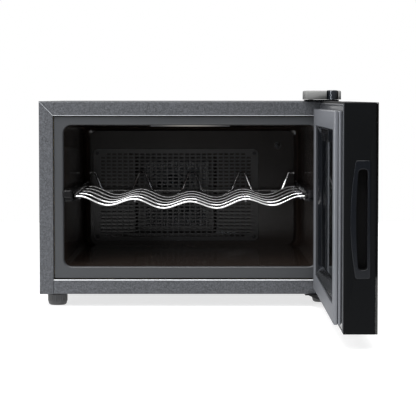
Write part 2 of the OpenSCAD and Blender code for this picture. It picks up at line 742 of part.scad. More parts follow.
// The door's hollow frame, with recesses for both panes and the finger cup
module door_frame() color([0.09, 0.095, 0.1]) at_door() difference() {
    union() {
        difference() {
            along_y(glass_y + glass_t + 0.1, door_y) door_outline(0, 1.5);
            along_y(glass_y, door_y - 6) door_outline(frame_wall, 1);
        }
        difference() {
            along_y(glass_y + glass_t + 0.1, door_y - 5) door_outline(window_inset - frame_wall, 3);
            along_y(glass_y, door_y) door_outline(window_inset, 2);
        }
        for (z = [door_z0, door_z1 - 14])
            translate([pin_x, pin_y, z]) cylinder(h = 14, r = 9);
    }
    along_y(glass_y, door_y + 1) door_outline(window_inset, 2);
    along_y(door_y - pane_t + pane_rise - 0.3, door_y + 1) door_outline(pane_inset - 0.5, 1);
    for (z = [door_z0 - 1, door_z1 - 11])
        translate([pin_x, pin_y, z]) cylinder(h = 12, r = bush_r);
    along_x(-half_w - 1, 1.6 - half_w) bezel_outline(0.15);
    along_x(-half_w - 1, 5 - half_w) slot_outline(2.2);
}

// The glass over the whole front of the door
module door_glass_outer() color([0.05, 0.06, 0.07]) at_door()
    along_y(glass_y, glass_y + glass_t) door_outline(0, 2);

// The pane on the door's inner side
module door_glass_inner() color([0.11, 0.14, 0.16]) at_door()
    along_y(door_y - pane_t + pane_rise, door_y + pane_rise) door_outline(pane_inset, 1);

// The bevelled frame round the inner pane
module door_trim() color([0.13, 0.13, 0.14]) at_door() difference() {
    translate([0, door_y, door_mid]) mitred_frame(cab_w, door_h, 51)
        polygon([[0.05, trim_inset], [8.6, trim_inset], [8.6, trim_inset + 1.2], [1.6, 51], [0.75, 51],
            [0.75, pane_inset - 0.4], [0.05, pane_inset - 0.4]]);
    translate([-69, door_y + pane_rise, door_z1 - 54.5]) cube([138, 12, 20]);
}

// The magnetic gasket, mitred at its corners
module door_gasket() color([0.56, 0.57, 0.60]) at_door()
    translate([0, door_y, door_mid]) mitred_frame(cab_w, door_h, gasket_inset + gasket_w)
        translate([0, gasket_inset]) {
            translate([gasket_t - 2, 2]) circle(2, $fn = 32);
            translate([gasket_t - 2, gasket_w - 2]) circle(2, $fn = 32);
            translate([gasket_t - 2, 2]) square([2, gasket_w - 4]);
            translate([6.2, 0]) square([gasket_t - 8.2, gasket_w]);
            translate([0.05, 1.5]) square([7, gasket_w - 3]);
            translate([2, 0]) square([3, gasket_w]);
        }

// The raised bezel round the finger slot in the door's free edge
module handle_bezel() color([0.12, 0.125, 0.13]) at_door()
    along_x(-half_w - 0.4, 1.5 - half_w) difference() {
        bezel_outline(0);
        slot_outline(0.1);
    }

// The blind cup behind the finger slot
module handle_cup() color([0.04, 0.04, 0.045]) at_door() difference() {
    along_x(1.6 - half_w, cup_depth - half_w) slot_outline(2);
    along_x(-half_w, cup_depth - 2 - half_w) slot_outline(0);
}

// The housing of the touch panel on the inner pane
module display_housing() color([0.05, 0.05, 0.055]) at_door() difference() {
    low = door_z1 - 54;
    high = door_z1 - 36;
    y0 = door_y + pane_rise + 0.1;
    along_y(y0, y0 + 9) round_rect_to(-68.5, low, 68.5, high, 4);
    along_y(y0 - 1, y0 + 7.5) round_rect_to(-67, low + 1.5, 67, high - 1.5, 2.5);
}

// The touch board against the back of the outer glass
module display_board() color([0.1, 0.35, 0.18]) at_door() {
    along_y(glass_y + glass_t + 0.3, glass_y + glass_t + 1.9)
        round_rect_to(-60, door_z1 - 42, 60, door_z1 - 16, 1);
    for (i = [-2:2])
        translate([i * 22 - 3, glass_y + glass_t + 1.9, door_z1 - 32]) cube([6, 2, 6]);
}

// A plain sleeve round the hinge pin
module door_bush(z) {
    translate([pin_x, pin_y, z]) difference() {
        cylinder(h = 10.8, r = bush_r - 0.02);
        translate([0, 0, -1]) cylinder(h = 13, r = pin_r + running_gap);
    }
}

// The nylon bush for the upper pin
module door_bush_top() color([0.85, 0.85, 0.82]) at_door() door_bush(door_z1 - 10.8);

// The nylon bush for the lower pin
module door_bush_bottom() color([0.85, 0.85, 0.82]) at_door() door_bush(door_z0);

// ---------------------------------------------------------------- feet

// Four threaded inserts in the base, one for each foot
module foot_inserts() color([0.7, 0.6, 0.3])
    for (f = FEET)
        translate([f[0], f[1], foot_h + sheet_t + 0.1]) difference() {
            cylinder(h = 13, r = insert_r);
            translate([0, 0, -1]) cylinder(h = 15, r = stud_r + running_gap);
        }

// The threaded stud of the foot at f
module foot_stud(f) color([0.7, 0.7, 0.72])
    translate([f[0], f[1], 5.2]) cylinder(h = foot_h + 22, r = stud_r);

// The notched pad of the foot at f
module foot_pad(f) color([0.33, 0.33, 0.34]) translate([f[0], f[1], 0]) difference() {
    rotate_extrude($fn = 72) polygon([[0, 0], [foot_d / 2 - 3.5, 0], [foot_d / 2 - 1.5, 1.5],
        [foot_d / 2, 7], [foot_d / 2, 16], [foot_d / 2 - 1, 17], [0, 17]]);
    translate([0, 0, 5]) cylinder(h = 15, r = stud_r + running_gap);
    for (k = [0:foot_notches - 1])
        rotate([0, 0, 360 * k / foot_notches]) translate([foot_d / 2 + 0.5, 0, 4])
            cylinder(h = 11, r = 1.2, $fn = 24);
}

// ---------------------------------------------------------------- one line for each node

outer_wrapper();
base_panel();
back_panel();
inner_liner();
insulation_foam();
duct_panel();
fan_grille();
grille_screws();
inner_fan_frame();
inner_fan_rotor();
cold_sink();
cold_block();
thermoelectric_module();
hot_sink();
outer_fan_frame();
outer_fan_rotor();
rear_cover();
rear_cover_screws();
power_board();
power_components();
mains_inlet();
led_lens();
led_board();
temperature_probe();
shelf_rail_left();
shelf_rail_right();
foot_inserts();
top_hinge_bracket();
top_hinge_screws();
top_hinge_cover();
top_hinge_barrel();
top_hinge_pin();
bottom_hinge_bracket();
bottom_hinge_screws();
bottom_hinge_pin();
shelf_wave_wires();
shelf_long_wires();
shelf_rear_guard();
door_frame();
door_glass_outer();
door_glass_inner();
door_trim();
door_gasket();
handle_bezel();
handle_cup();
display_housing();
display_board();
door_bush_top();
door_bush_bottom();
foot_stud(FEET[0]);  // foot_stud_fl
foot_pad(FEET[0]);  // foot_pad_fl
foot_stud(FEET[1]);  // foot_stud_fr
foot_pad(FEET[1]);  // foot_pad_fr
foot_stud(FEET[2]);  // foot_stud_rl
foot_pad(FEET[2]);  // foot_pad_rl
foot_stud(FEET[3]);  // foot_stud_rr
foot_pad(FEET[3]);  // foot_pad_rr
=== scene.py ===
import math

import bmesh
import bpy
from mathutils import Matrix, Vector


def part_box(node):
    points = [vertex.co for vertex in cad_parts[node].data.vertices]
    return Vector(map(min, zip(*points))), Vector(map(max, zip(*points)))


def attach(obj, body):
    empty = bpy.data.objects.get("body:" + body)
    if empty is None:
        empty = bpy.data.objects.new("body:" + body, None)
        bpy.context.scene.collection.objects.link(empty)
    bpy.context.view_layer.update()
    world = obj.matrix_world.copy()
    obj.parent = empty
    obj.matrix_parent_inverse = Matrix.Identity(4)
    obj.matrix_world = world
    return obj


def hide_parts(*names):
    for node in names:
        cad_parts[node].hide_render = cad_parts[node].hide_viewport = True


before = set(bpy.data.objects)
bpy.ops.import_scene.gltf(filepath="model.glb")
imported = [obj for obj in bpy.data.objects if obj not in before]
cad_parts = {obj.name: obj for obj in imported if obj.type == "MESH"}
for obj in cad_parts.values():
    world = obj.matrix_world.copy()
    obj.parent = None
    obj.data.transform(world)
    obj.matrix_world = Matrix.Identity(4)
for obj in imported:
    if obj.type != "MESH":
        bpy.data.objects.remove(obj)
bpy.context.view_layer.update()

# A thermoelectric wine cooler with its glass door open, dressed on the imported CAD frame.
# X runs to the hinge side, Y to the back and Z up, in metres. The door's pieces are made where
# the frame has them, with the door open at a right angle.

scene = bpy.context.scene
scene.view_settings.view_transform = "Standard"

# ---- Camera ----------------------------------------------------------------------------
# A long lens stands 2.7 m in front of the cabinet, level with its top and a little towards
# the door, and looks down on the bottle shelf.
cabinet_low, cabinet_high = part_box("outer_wrapper")
lens_data = bpy.data.cameras.new("camera")
lens_data.lens = 155.0
lens_data.sensor_width = 36.0
camera = bpy.data.objects.new("camera", lens_data)
camera.location = (0.0269, cabinet_low.y - 2.693, cabinet_high.z + 0.0063)
camera.rotation_euler = (math.radians(90 - 3.547), 0, 0)
scene.collection.objects.link(camera)
scene.camera = camera

# ---- Studio ----------------------------------------------------------------------------
# A pale floor under a white sky that is darker near the horizon, so that the black plastic
# stays black. Soft boxes stand in front, above and beside, and a narrow one draws the thin
# highlights on rounded edges.
FLOOR_REACH = 1.6


def connect(tree, source, target):
    """Join an output socket to an input socket."""
    tree.links.new(source, target)


def put(tree, kind, **values):
    """Add a shader node and set its own properties."""
    item = tree.nodes.new(kind)
    for name, value in values.items():
        setattr(item, name, value)
    return item


def soft_box(name, place, aim, size, power, colour=(1, 1, 1)):
    """A square area light that points at a spot."""
    data = bpy.data.lights.new(name, "AREA")
    data.shape = "RECTANGLE"
    data.size, data.size_y = size
    data.energy = power
    data.color = colour
    lamp = bpy.data.objects.new(name, data)
    lamp.location = place
    lamp.rotation_euler = (Vector(aim) - Vector(place)).to_track_quat("-Z", "Y").to_euler()
    scene.collection.objects.link(lamp)
    return lamp


soft_box("left_box", (-1.5, -2.3, 1.3), (0, -0.2, 0.16), (1.1, 0.9), 30)
soft_box("top_box", (-0.3, -1.5, 1.9), (0, -0.2, 0.16), (1.6, 0.9), 43)
soft_box("side_box", (-2.4, -0.7, 0.8), (0, -0.2, 0.16), (1.0, 1.2), 5)
soft_box("strip_box", (-1.25, -2.75, 0.42), (0.1, -0.25, 0.25), (0.22, 0.8), 9, (0.84, 0.91, 1.0))

sky = bpy.data.worlds.new("studio_sky")
scene.world = sky
sky.use_nodes = True
sky_tree = sky.node_tree
sky_tree.nodes.clear()
sky_out = put(sky_tree, "ShaderNodeOutputWorld")
sky_seen = put(sky_tree, "ShaderNodeBackground")
sky_seen.inputs["Color"].default_value = (1, 1, 1, 1)
sky_lit = put(sky_tree, "ShaderNodeBackground")
sky_mix = put(sky_tree, "ShaderNodeMixShader")
sky_path = put(sky_tree, "ShaderNodeLightPath")
sky_where = put(sky_tree, "ShaderNodeTexCoord")
sky_split = put(sky_tree, "ShaderNodeSeparateXYZ")
sky_up = put(sky_tree, "ShaderNodeMapRange")
sky_up.inputs["From Min"].default_value = 0.05
sky_up.inputs["From Max"].default_value = 0.85
sky_up.inputs["To Min"].default_value = 0.14
sky_up.inputs["To Max"].default_value = 1.45
sky_back = put(sky_tree, "ShaderNodeMapRange")
sky_back.inputs["From Min"].default_value = -0.2
sky_back.inputs["From Max"].default_value = 0.9
sky_back.inputs["To Min"].default_value = 0.0
sky_back.inputs["To Max"].default_value = 0.6
sky_sum = put(sky_tree, "ShaderNodeMath", operation="ADD")
connect(sky_tree, sky_where.outputs["Generated"], sky_split.inputs[0])
connect(sky_tree, sky_split.outputs["Z"], sky_up.inputs["Value"])
connect(sky_tree, sky_split.outputs["Y"], sky_back.inputs["Value"])
connect(sky_tree, sky_up.outputs["Result"], sky_sum.inputs[0])
connect(sky_tree, sky_back.outputs["Result"], sky_sum.inputs[1])
connect(sky_tree, sky_sum.outputs[0], sky_lit.inputs["Strength"])
connect(sky_tree, sky_path.outputs["Is Camera Ray"], sky_mix.inputs["Fac"])
connect(sky_tree, sky_lit.outputs[0], sky_mix.inputs[1])
connect(sky_tree, sky_seen.outputs[0], sky_mix.inputs[2])
connect(sky_tree, sky_mix.outputs[0], sky_out.inputs["Surface"])


def linked(name, mesh, mat=None):
    """An object at the origin that holds a finished mesh."""
    item = bpy.data.objects.new(name, mesh)
    scene.collection.objects.link(item)
    if mat:
        mesh.materials.append(mat)
    return item


def mesh_from(name, bm):
    """Turn a bmesh into a mesh and free it."""
    mesh = bpy.data.meshes.new(name)
    bm.to_mesh(mesh)
    bm.free()
    return mesh


floor_paint = bpy.data.materials.new("floor_paint")
floor_paint.use_nodes = True
floor_tree = floor_paint.node_tree
floor_shader = floor_tree.nodes["Principled BSDF"]
floor_shader.inputs["Roughness"].default_value = 0.9
floor_shader.inputs["Specular IOR Level"].default_value = 0.1
floor_shader.inputs["Emission Color"].default_value = (1, 1, 1, 1)
floor_shader.inputs["Emission Strength"].default_value = 0.72
floor_noise = put(floor_tree, "ShaderNodeTexNoise")
floor_noise.inputs["Scale"].default_value = 3.0
floor_tint = put(floor_tree, "ShaderNodeValToRGB")
floor_tint.color_ramp.elements[0].color = (0.42, 0.42, 0.42, 1)
floor_tint.color_ramp.elements[1].color = (0.46, 0.46, 0.46, 1)
connect(floor_tree, floor_noise.outputs["Fac"], floor_tint.inputs["Fac"])
connect(floor_tree, floor_tint.outputs["Color"], floor_shader.inputs["Base Color"])
floor_bm = bmesh.new()
bmesh.ops.create_grid(floor_bm, x_segments=1, y_segments=1, size=FLOOR_REACH)
linked("floor", mesh_from("floor", floor_bm), floor_paint)

# ---- Steel box -------------------------------------------------------------------------
# The outer case is folded from one sheet of steel and powder coated with a pebbled charcoal
# finish. The base and the back panel are separate sheets with the same coat.


def breakup_group():
    """Grain, blotches and fine hairline scratches, for every finish that needs them."""
    group = bpy.data.node_groups.new("surface_breakup", "ShaderNodeTree")
    face = group.interface
    face.new_socket("Vector", in_out="INPUT", socket_type="NodeSocketVector")
    for name, value in (("Grain Scale", 900.0), ("Blotch Scale", 12.0), ("Scratch Scale", 60.0)):
        face.new_socket(name, in_out="INPUT", socket_type="NodeSocketFloat").default_value = value
    for name in ("Grain", "Blotch", "Scratch"):
        face.new_socket(name, in_out="OUTPUT", socket_type="NodeSocketFloat")
    entry, leave = put(group, "NodeGroupInput"), put(group, "NodeGroupOutput")
    for name, detail in (("Grain", 2.0), ("Blotch", 4.0)):
        noise = put(group, "ShaderNodeTexNoise")
        noise.inputs["Detail"].default_value = detail
        connect(group, entry.outputs["Vector"], noise.inputs["Vector"])
        connect(group, entry.outputs[name + " Scale"], noise.inputs["Scale"])
        connect(group, noise.outputs["Fac"], leave.inputs[name])
    stretch = put(group, "ShaderNodeMapping")
    stretch.inputs["Scale"].default_value = (1.0, 1.0, 24.0)
    hair = put(group, "ShaderNodeTexNoise")
    hair.inputs["Detail"].default_value = 3.0
    thin = put(group, "ShaderNodeMapRange")
    thin.inputs["From Min"].default_value = 0.62
    thin.inputs["From Max"].default_value = 0.74
    connect(group, entry.outputs["Vector"], stretch.inputs["Vector"])
    connect(group, stretch.outputs["Vector"], hair.inputs["Vector"])
    connect(group, entry.outputs["Scratch Scale"], hair.inputs["Scale"])
    connect(group, hair.outputs["Fac"], thin.inputs["Value"])
    connect(group, thin.outputs["Result"], leave.inputs["Scratch"])
    return group


surface_breakup = breakup_group()


def scaled(colour, factor):
    """A colour made darker or lighter, with full alpha."""
    return tuple(min(1.0, c * factor) for c in colour[:3]) + (1.0,)


def finish(name, colour, rough, grain=(900.0, 0.00005), blotch=0.1, scratch=0.03, metallic=0.0,
           specular=0.5, coat=0.0, blotch_scale=12.0):
    """A solid finish: colour and gloss drift in soft blotches over a fine grain and hairline scratches."""
    mat = bpy.data.materials.new(name)
    mat.use_nodes = True
    tree = mat.node_tree
    shader = tree.nodes["Principled BSDF"]
    shader.inputs["Metallic"].default_value = metallic
    shader.inputs["Specular IOR Level"].default_value = specular
    shader.inputs["Coat Weight"].default_value = coat
    shader.inputs["Coat Roughness"].default_value = 0.08
    where = put(tree, "ShaderNodeTexCoord")
    worn = put(tree, "ShaderNodeGroup", node_tree=surface_breakup, name="breakup")
    worn.inputs["Grain Scale"].default_value = grain[0]
    worn.inputs["Blotch Scale"].default_value = blotch_scale
    connect(tree, where.outputs["Object"], worn.inputs["Vector"])
    tint = put(tree, "ShaderNodeMix", data_type="RGBA", name="tint")
    tint.inputs["A"].default_value = scaled(colour, 1 - blotch)
    tint.inputs["B"].default_value = scaled(colour, 1 + blotch)
    connect(tree, worn.outputs["Blotch"], tint.inputs["Factor"])
    connect(tree, tint.outputs["Result"], shader.inputs["Base Color"])
    gloss = put(tree, "ShaderNodeMapRange", name="gloss")
    gloss.inputs["To Min"].default_value = rough * 0.88
    gloss.inputs["To Max"].default_value = min(1.0, rough * 1.12)
    rub = put(tree, "ShaderNodeMath", operation="MULTIPLY_ADD", name="rub")
    rub.inputs[1].default_value = scratch
    connect(tree, worn.outputs["Blotch"], gloss.inputs["Value"])
    connect(tree, worn.outputs["Scratch"], rub.inputs[0])
    connect(tree, gloss.outputs["Result"], rub.inputs[2])
    connect(tree, rub.outputs[0], shader.inputs["Roughness"])
    relief = put(tree, "ShaderNodeBump", name="relief")
    relief.inputs["Distance"].default_value = grain[1]
    connect(tree, worn.outputs["Grain"], relief.inputs["Height"])
    connect(tree, relief.outputs["Normal"], shader.inputs["Normal"])
    return mat


def dress(mat, *names):
    """Give CAD nodes a better material."""
    for name in names:
        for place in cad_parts[name].material_slots:
            place.material = mat


def pebble_group():
    """The pebbled skin of a textured powder coat: round grains that stand close together."""
    group = bpy.data.node_groups.new("pebble_coat", "ShaderNodeTree")
    face = group.interface
    face.new_socket("Vector", in_out="INPUT", socket_type="NodeSocketVector")
    face.new_socket("Cells", in_out="INPUT", socket_type="NodeSocketFloat").default_value = 720.0
    face.new_socket("Height", in_out="OUTPUT", socket_type="NodeSocketFloat")
    face.new_socket("Crown Light", in_out="OUTPUT", socket_type="NodeSocketFloat")
    entry, leave = put(group, "NodeGroupInput"), put(group, "NodeGroupOutput")
    cells = put(group, "ShaderNodeTexVoronoi", feature="SMOOTH_F1")
    cells.inputs["Smoothness"].default_value = 0.6
    broad = put(group, "ShaderNodeTexNoise")
    broad.inputs["Detail"].default_value = 3.0
    slow = put(group, "ShaderNodeMath", operation="MULTIPLY")
    slow.inputs[1].default_value = 0.45
    blend_height = put(group, "ShaderNodeMath", operation="MULTIPLY_ADD")
    blend_height.inputs[1].default_value = -0.8
    connect(group, entry.outputs["Vector"], cells.inputs["Vector"])
    connect(group, entry.outputs["Cells"], cells.inputs["Scale"])
    connect(group, entry.outputs["Vector"], broad.inputs["Vector"])
    connect(group, entry.outputs["Cells"], slow.inputs[0])
    connect(group, slow.outputs[0], broad.inputs["Scale"])
    connect(group, cells.outputs["Distance"], blend_height.inputs[0])
    connect(group, broad.outputs["Fac"], blend_height.inputs[2])
    # The crown share is painted light and shade: it lightens the base colour on the grain crowns and
    # darkens it in the pits.
    crown_light = put(group, "ShaderNodeMapRange")
    crown_light.inputs["From Min"].default_value = -0.1
    crown_light.inputs["From Max"].default_value = 0.5
    connect(group, blend_height.outputs[0], leave.inputs["Height"])
    connect(group, blend_height.outputs[0], crown_light.inputs["Value"])
    connect(group, crown_light.outputs["Result"], leave.inputs["Crown Light"])
    return group


pebble_coat = pebble_group()
STEEL_GREY = (0.054, 0.057, 0.064)


def pebbled(name, colour, depth):
    """Powder-coated steel, with painted light on the crowns of the grains and painted shade in the pits.
    """
    mat = finish(name, colour, 0.42, blotch=0.08, specular=0.45)
    tree = mat.node_tree
    shader = tree.nodes["Principled BSDF"]
    where = next(n for n in tree.nodes if n.type == "TEX_COORD")
    skin = put(tree, "ShaderNodeGroup", node_tree=pebble_coat)
    connect(tree, where.outputs["Object"], skin.inputs["Vector"])
    grain_light_and_shade = put(tree, "ShaderNodeMix", data_type="RGBA", blend_type="MULTIPLY")
    grain_light_and_shade.inputs["Factor"].default_value = 1.0
    shade = put(tree, "ShaderNodeMix", data_type="RGBA")
    shade.inputs["A"].default_value = (0.50, 0.50, 0.50, 1)
    shade.inputs["B"].default_value = (1.42, 1.42, 1.42, 1)
    connect(tree, skin.outputs["Crown Light"], shade.inputs["Factor"])
    connect(tree, tree.nodes["tint"].outputs["Result"], grain_light_and_shade.inputs["A"])
    connect(tree, shade.outputs["Result"], grain_light_and_shade.inputs["B"])
    connect(tree, grain_light_and_shade.outputs["Result"], shader.inputs["Base Color"])
    relief = tree.nodes["relief"]
    relief.inputs["Distance"].default_value = depth
    connect(tree, skin.outputs["Height"], relief.inputs["Height"])
    return mat


steel_coat = pebbled("steel_coat", STEEL_GREY, 0.0003)
dress(steel_coat, "outer_wrapper", "base_panel", "back_panel")

SEAM_R = 0.00035
FLANGE_W = 0.0215
FLANGE_H = 0.022
flange_top = cabinet_high.z - FLANGE_H


def seam(name, start, end, radius, mat, body):
    """A raised edge along a joint or a fold, as a round bar."""
    bar = bmesh.new()
    bmesh.ops.create_cone(bar, cap_ends=True, segments=12, radius1=radius, radius2=radius,
                          depth=(end - start).length)
    turn = (end - start).to_track_quat("Z", "Y").to_matrix().to_4x4()
    bmesh.ops.transform(bar, matrix=Matrix.Translation((start + end) / 2) @ turn, verts=bar.verts)
    piece = linked(name, mesh_from(name, bar), mat)
    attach(piece, body)


# Painted highlights: the light grey seam paint on the mitre bars and the near-white sill paint stand in
# for light catching the folded steel edges.
seam_highlight_paint = finish("seam_highlight_paint", (0.34, 0.35, 0.37), 0.3, blotch=0.1)
sill_highlight_paint = finish("sill_highlight_paint", (0.80, 0.81, 0.83), 0.25, blotch=0.05)
MITRE_BEHIND = 0.0002
ROLL = 0.0012
for side, label in ((-1, "left"), (1, "right")):
    outer = Vector((side * (cabinet_high.x - ROLL), cabinet_low.y + MITRE_BEHIND, cabinet_high.z - ROLL))
    inner = Vector((side * (cabinet_high.x - FLANGE_W), outer.y, flange_top))
    seam("mitre_edge_" + label, outer, inner, SEAM_R, seam_highlight_paint, "cabinet")
foam_skin = finish("foam_skin", (0.62, 0.50, 0.26), 0.9, grain=(260.0, 0.0008), blotch=0.25, specular=0.2)
dress(foam_skin, "insulation_foam")

# Painted highlights: a near-white bar on the folded edge of the base flange and a dimmer one on the edge
# over the mouth stand in for light catching these folds
FOLD_BEHIND = 0.00045
SILL_R = 0.00065
LINTEL_R = 0.00052
for label, radius, height, paint in (("low", SILL_R, cabinet_low.z + FLANGE_H - SILL_R, sill_highlight_paint),
                                     ("high", LINTEL_R, flange_top + LINTEL_R, seam_highlight_paint)):
    start = Vector((-cabinet_high.x + FLANGE_W, cabinet_low.y + FOLD_BEHIND, height))
    end = Vector((cabinet_high.x - FLANGE_W, start.y, height))
    seam("fold_edge_" + label, start, end, radius, paint, "cabinet")

# ---- Liner -----------------------------------------------------------------------------
# The cavity is vacuum formed from one black sheet of glossy styrene, with a rolled lip, a flat
# flange behind the steel and a pocket for the cooling fan. It hooks behind the steel flange.
LINER_T = 0.002
MOUTH = (-0.1905, 0.0617, 0.1905, 0.275)
CAVITY_BACK = (-0.182, 0.066, 0.182, 0.268)
MOUTH_R = 0.0115
LIP_R = 0.0028
LIP_LAND = 0.001
CORNER_R = 0.010
CAVITY_DEPTH = 0.350
POCKET_W, POCKET_H, POCKET_DEPTH, POCKET_ROLL = 0.130, 0.128, 0.039, 0.004
HOOK_OUT, HOOK_BACK = 0.0018, 0.0045
RING_SIDES, RING_TOP, RING_R = 0.0008, 0.0003, 0.0015
liner_low, liner_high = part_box("inner_liner")


def outline(bm, box, y, radius, steps=7):
    """A rectangle with round corners across Y, as a loop of edges."""
    x0, z0, x1, z1 = box
    corners = [bm.verts.new(p) for p in ((x0, y, z0), (x1, y, z0), (x1, y, z1), (x0, y, z1))]
    bm.faces.new(corners)
    bmesh.ops.bevel(bm, geom=corners, offset=radius, offset_type="OFFSET", affect="VERTICES",
                    segments=steps, profile=0.5, material=-1)
    whole = next(f for f in bm.faces if len(f.verts) == 4 * (steps + 1))
    edges = list(whole.edges)
    bmesh.ops.delete(bm, geom=[whole], context="FACES_ONLY")
    return edges


def corner_centre(box, radius, point):
    """The centre of the rounding that a point of an outline belongs to."""
    x = box[2] - radius if point.x > (box[0] + box[2]) / 2 else box[0] + radius
    z = box[3] - radius if point.z > (box[1] + box[3]) / 2 else box[1] + radius
    return Vector((x, 0, z))


def extruded(bm, edges, was, box, y, radius):
    """Extrude an outline to another box, depth and corner radius."""
    made = bmesh.ops.extrude_edge_only(bm, edges=edges)["geom"]
    for v in (g for g in made if isinstance(g, bmesh.types.BMVert)):
        heart = corner_centre(was[0], was[2], v.co)
        out = (v.co - heart) * (radius / was[2])
        x = box[2] - radius if heart.x > (was[0][0] + was[0][2]) / 2 else box[0] + radius
        z = box[3] - radius if heart.z > (was[0][1] + was[0][3]) / 2 else box[1] + radius
        v.co = (x + out.x, y, z + out.z)
    return [g for g in made if isinstance(g, bmesh.types.BMEdge)]


def grown(box, by):
    """A box in X and Z, made larger on every side."""
    return (box[0] - by, box[1] - by, box[2] + by, box[3] + by)


def between(box_a, box_b, share):
    """A box part of the way from one to another."""
    return tuple(a + (b - a) * share for a, b in zip(box_a, box_b))


ring_y = liner_low.y
cavity_y = cabinet_low.y + CAVITY_DEPTH
block_low, block_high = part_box("cold_block")
engine_x, engine_z = (block_low.x + block_high.x) / 2, (block_low.z + block_high.z) / 2
pocket = (engine_x - POCKET_W / 2, engine_z - POCKET_H / 2,
          engine_x + POCKET_W / 2, engine_z + POCKET_H / 2)
liner_box = (liner_low.x, liner_low.z, liner_high.x, liner_high.z)
hook_box = grown(liner_box, HOOK_OUT)
ring_box = (liner_box[0] - RING_SIDES, liner_box[1], liner_box[2] + RING_SIDES, liner_box[3] + RING_TOP)

# The stages run from the hook, over the ring and the rolled lip, to the back and the fan pocket
stages = [(hook_box, ring_y + HOOK_BACK, RING_R), (ring_box, ring_y + HOOK_BACK, RING_R),
          (ring_box, ring_y, RING_R), (grown(MOUTH, LIP_R + LIP_LAND), ring_y, MOUTH_R + LIP_R + LIP_LAND),
          (grown(MOUTH, LIP_R), ring_y, MOUTH_R + LIP_R)]
for turn in range(1, 7):
    angle = math.radians(15 * turn)
    inward = LIP_R * (1 - math.sin(angle))
    stages.append((grown(MOUTH, inward), ring_y + LIP_R * (1 - math.cos(angle)), MOUTH_R + inward))
for share in (0.25, 0.5, 0.75, 0.955):
    stages.append((between(MOUTH, CAVITY_BACK, share), ring_y + (cavity_y - ring_y) * share, MOUTH_R))
for turn in range(1, 7):
    angle = math.radians(15 * turn)
    inward = CORNER_R * (1 - math.cos(angle))
    back_y = cavity_y - CORNER_R * (1 - math.sin(angle))
    stages.append((grown(CAVITY_BACK, -inward), back_y, max(0.003, MOUTH_R - inward)))
stages += [(grown(pocket, POCKET_ROLL), cavity_y, 0.006), (pocket, cavity_y + POCKET_ROLL, 0.005),
           (pocket, cavity_y + POCKET_DEPTH, 0.005)]
liner_bm = bmesh.new()
before = outline(liner_bm, *stages[0])
for last, now in zip(stages, stages[1:]):
    before = extruded(liner_bm, before, last, *now)
bmesh.ops.contextual_create(liner_bm, geom=before)
bmesh.ops.recalc_face_normals(liner_bm, faces=liner_bm.faces)
deepest = max(liner_bm.faces, key=lambda f: f.calc_center_median().y)
if deepest.normal.y > 0:
    bmesh.ops.reverse_faces(liner_bm, faces=liner_bm.faces)


def smoothed(name, bm, crease):
    """Turn a bmesh into a smooth mesh whose edges stay sharp past an angle in degrees."""
    for f in bm.faces:
        f.smooth = True
    mesh = mesh_from(name, bm)
    mesh.set_sharp_from_angle(angle=math.radians(crease))
    return mesh


def walled(piece, thickness, offset=-1.0):
    """Give a sheet its thickness."""
    wall = piece.modifiers.new("wall", "SOLIDIFY")
    wall.thickness = thickness
    wall.offset = offset


liner = linked("liner_shell", smoothed("liner_shell", liner_bm, 40))
walled(liner, LINER_T)
liner_gloss = finish("liner_gloss", (0.025, 0.027, 0.030), 0.16, grain=(700.0, 0.00002), blotch=0.06,
                     scratch=0.05, specular=0.5)
liner_tree = liner_gloss.node_tree
liner_shader = liner_tree.nodes["Principled BSDF"]


def place_along(tree, axis):
    """Where a point of the surface lies along an axis."""
    split = put(tree, "ShaderNodeSeparateXYZ")
    where = next(n for n in tree.nodes if n.type == "TEX_COORD")
    connect(tree, where.outputs["Object"], split.inputs[0])
    return split.outputs[axis]


def share_between(tree, place, low, high, ease="SMOOTHSTEP"):
    """How far a place lies on the way from low to high, from 0 to 1."""
    share = put(tree, "ShaderNodeMapRange", interpolation_type=ease)
    share.inputs["From Min"].default_value = low
    share.inputs["From Max"].default_value = high
    connect(tree, place, share.inputs["Value"])
    return share.outputs["Result"]


# The ring in front is handled and a little hazy, and the cavity behind it is glossy. Behind the ring the
# colour turns darker and warmer: painted shade in the hook's gap and the cavity, with a painted warm glow.
depth_share = share_between(liner_tree, place_along(liner_tree, "Y"), ring_y + 0.0020, ring_y + 0.0048)
# Painted shade and a painted warm glow, blended in with depth behind the ring.
cavity_shade_and_glow = put(liner_tree, "ShaderNodeMix", data_type="RGBA")
cavity_shade_and_glow.inputs["B"].default_value = (0.022, 0.0155, 0.0125, 1)
connect(liner_tree, depth_share, cavity_shade_and_glow.inputs["Factor"])
connect(liner_tree, liner_tree.nodes["tint"].outputs["Result"], cavity_shade_and_glow.inputs["A"])
connect(liner_tree, cavity_shade_and_glow.outputs["Result"], liner_shader.inputs["Base Color"])
ring_haze = put(liner_tree, "ShaderNodeMapRange")
ring_haze.inputs["To Min"].default_value = 0.22
ring_haze.inputs["To Max"].default_value = 0.0
haze_sum = put(liner_tree, "ShaderNodeMath", operation="ADD")
connect(liner_tree, depth_share, ring_haze.inputs["Value"])
connect(liner_tree, ring_haze.outputs["Result"], haze_sum.inputs[0])
connect(liner_tree, liner_tree.nodes["rub"].outputs[0], haze_sum.inputs[1])
connect(liner_tree, haze_sum.outputs[0], liner_shader.inputs["Roughness"])
liner.data.materials.append(liner_gloss)
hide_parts("inner_liner")
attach(liner, "cabinet")

